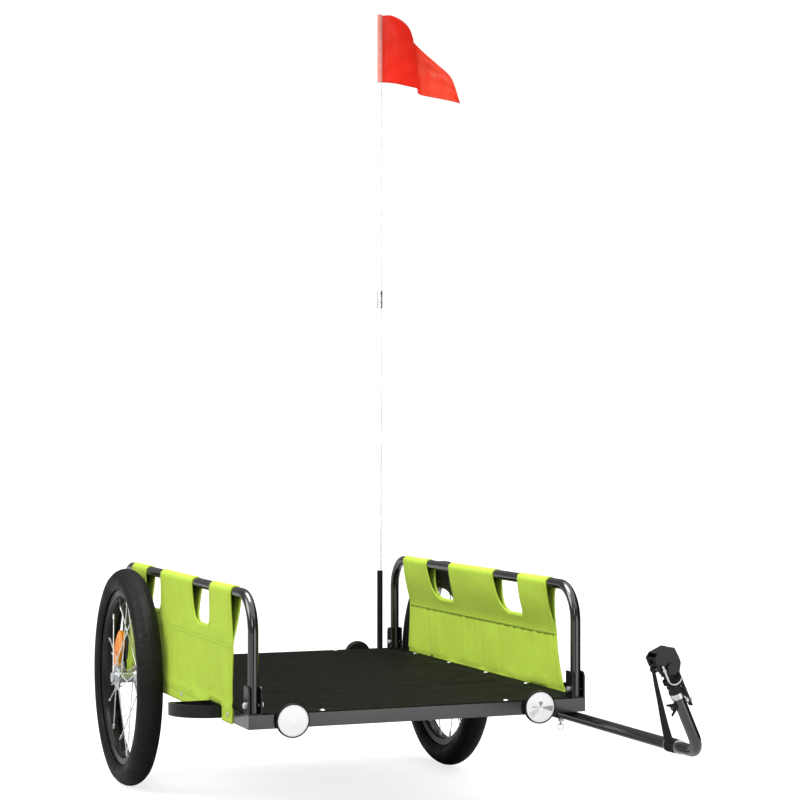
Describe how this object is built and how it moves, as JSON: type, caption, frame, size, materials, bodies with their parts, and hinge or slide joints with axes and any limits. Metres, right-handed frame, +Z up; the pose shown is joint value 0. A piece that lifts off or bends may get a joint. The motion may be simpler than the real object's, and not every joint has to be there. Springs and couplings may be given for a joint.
{
  "type": "bicycle cargo trailer",
  "caption": "Flat-bed bicycle trailer with two spoked wheels, side hoops with fabric panels, cranked drawbar and tall safety flag.",
  "frame": {"origin": "middle of the object's box, on the ground", "axes": "+Z up, the front beam and drawbar point to -Y, the drawbar is on the +X side"},
  "size_m": [0.792, 1.3456, 1.512],
  "materials": {
    "frame_paint": "gloss",
    "bracket_paint": "satin",
    "bed_cloth": "matte",
    "side_cloth": "matte",
    "zinc": "satin",
    "bright": "gloss",
    "clear_lens": "gloss",
    "red_lens": "gloss",
    "amber": "gloss",
    "black_plastic": "matte",
    "hub_alloy": "satin",
    "rim_alloy": "gloss",
    "tyre": "matte",
    "coupler_rubber": "matte",
    "webbing": "matte",
    "pole_white": "gloss",
    "flag_vinyl": "gloss"
  },
  "bodies": {
    "frame": {"front_beam": "frame_paint", "rear_beam": "frame_paint", "left_rail": "frame_paint", "right_rail": "frame_paint", "cross_bars": "frame_paint", "bed_sheet": "bed_cloth", "bed_border": "bed_cloth", "bed_screws": "zinc", "left_hoop": "frame_paint", "right_hoop": "frame_paint", "hoop_brackets": "bracket_paint", "hoop_bolts": "zinc", "left_panel": "side_cloth", "right_panel": "side_cloth", "panel_screws": "zinc", "left_deflector": "bracket_paint", "right_deflector": "bracket_paint", "reflector_housings": "black_plastic", "front_lenses": "clear_lens", "rear_lenses": "red_lens", "reflector_screws": "zinc", "left_axle": "zinc", "right_axle": "zinc", "bar_sleeves": "bracket_paint", "pole_socket": "black_plastic", "socket_clips": "black_plastic", "clip_screws": "zinc"},
    "left_wheel": {"left_hub": "hub_alloy", "left_spokes": "bright", "left_rim": "rim_alloy", "left_tyre": "tyre", "left_valve": "coupler_rubber", "left_spoke_reflector": "amber"},
    "right_wheel": {"right_hub": "hub_alloy", "right_spokes": "bright", "right_rim": "rim_alloy", "right_tyre": "tyre", "right_valve": "coupler_rubber", "right_spoke_reflector": "amber"},
    "drawbar": {"drawbar_tube": "frame_paint", "drawbar_cap": "black_plastic", "collar": "bright", "coupler": "coupler_rubber", "keeper_plate": "bracket_paint", "coupler_screw": "zinc", "wing_nut": "black_plastic", "strap": "webbing", "strap_rings": "bright"},
    "lock_pin": {"lock_pin": "bright"},
    "lock_ring": {"lock_ring": "bright"},
    "hitch": {"hitch_bracket": "bracket_paint", "hitch_bolt": "zinc"},
    "hitch_pin": {"hitch_pin": "bright"},
    "pole": {"lower_pole": "pole_white", "ferrule": "zinc"},
    "flag_pole": {"upper_pole": "pole_white", "flag": "flag_vinyl"}
  },
  "joints": [
    {"name": "left_wheel_spin", "type": "hinge", "parent": "frame", "child": "left_wheel", "pos_m": [-0.354, 0.458, 0.2], "axis": [1, 0, 0], "continuous": true},
    {"name": "right_wheel_spin", "type": "hinge", "parent": "frame", "child": "right_wheel", "pos_m": [0.28, 0.458, 0.2], "axis": [1, 0, 0], "continuous": true},
    {"name": "drawbar_slide", "type": "slide", "parent": "frame", "child": "drawbar", "axis": [0, -1, 0], "range_m": [0, 0.19]},
    {"name": "lock_pin_pull", "type": "slide", "parent": "drawbar", "child": "lock_pin", "axis": [0, 0, -1], "range_m": [0, 0.04]},
    {"name": "lock_ring_swing", "type": "hinge", "parent": "lock_pin", "child": "lock_ring", "pos_m": [0.241, -0.166, 0.161], "axis": [1, 0, 0], "range_deg": [-70, 70]},
    {"name": "hitch_swing", "type": "hinge", "parent": "drawbar", "child": "hitch", "pos_m": [0.18337, -0.6516, 0.30845], "axis": [0, 1, 0], "range_deg": [0, 30]},
    {"name": "hitch_pin_pull", "type": "slide", "parent": "hitch", "child": "hitch_pin", "axis": [0, -1, 0], "range_m": [0, 0.042]},
    {"name": "pole_lift", "type": "slide", "parent": "frame", "child": "pole", "axis": [0, 0, 1], "range_m": [0, 0.18]},
    {"name": "upper_pole_lift", "type": "slide", "parent": "pole", "child": "flag_pole", "axis": [0, 0, 1], "range_m": [0, 0.05]}
  ]
}
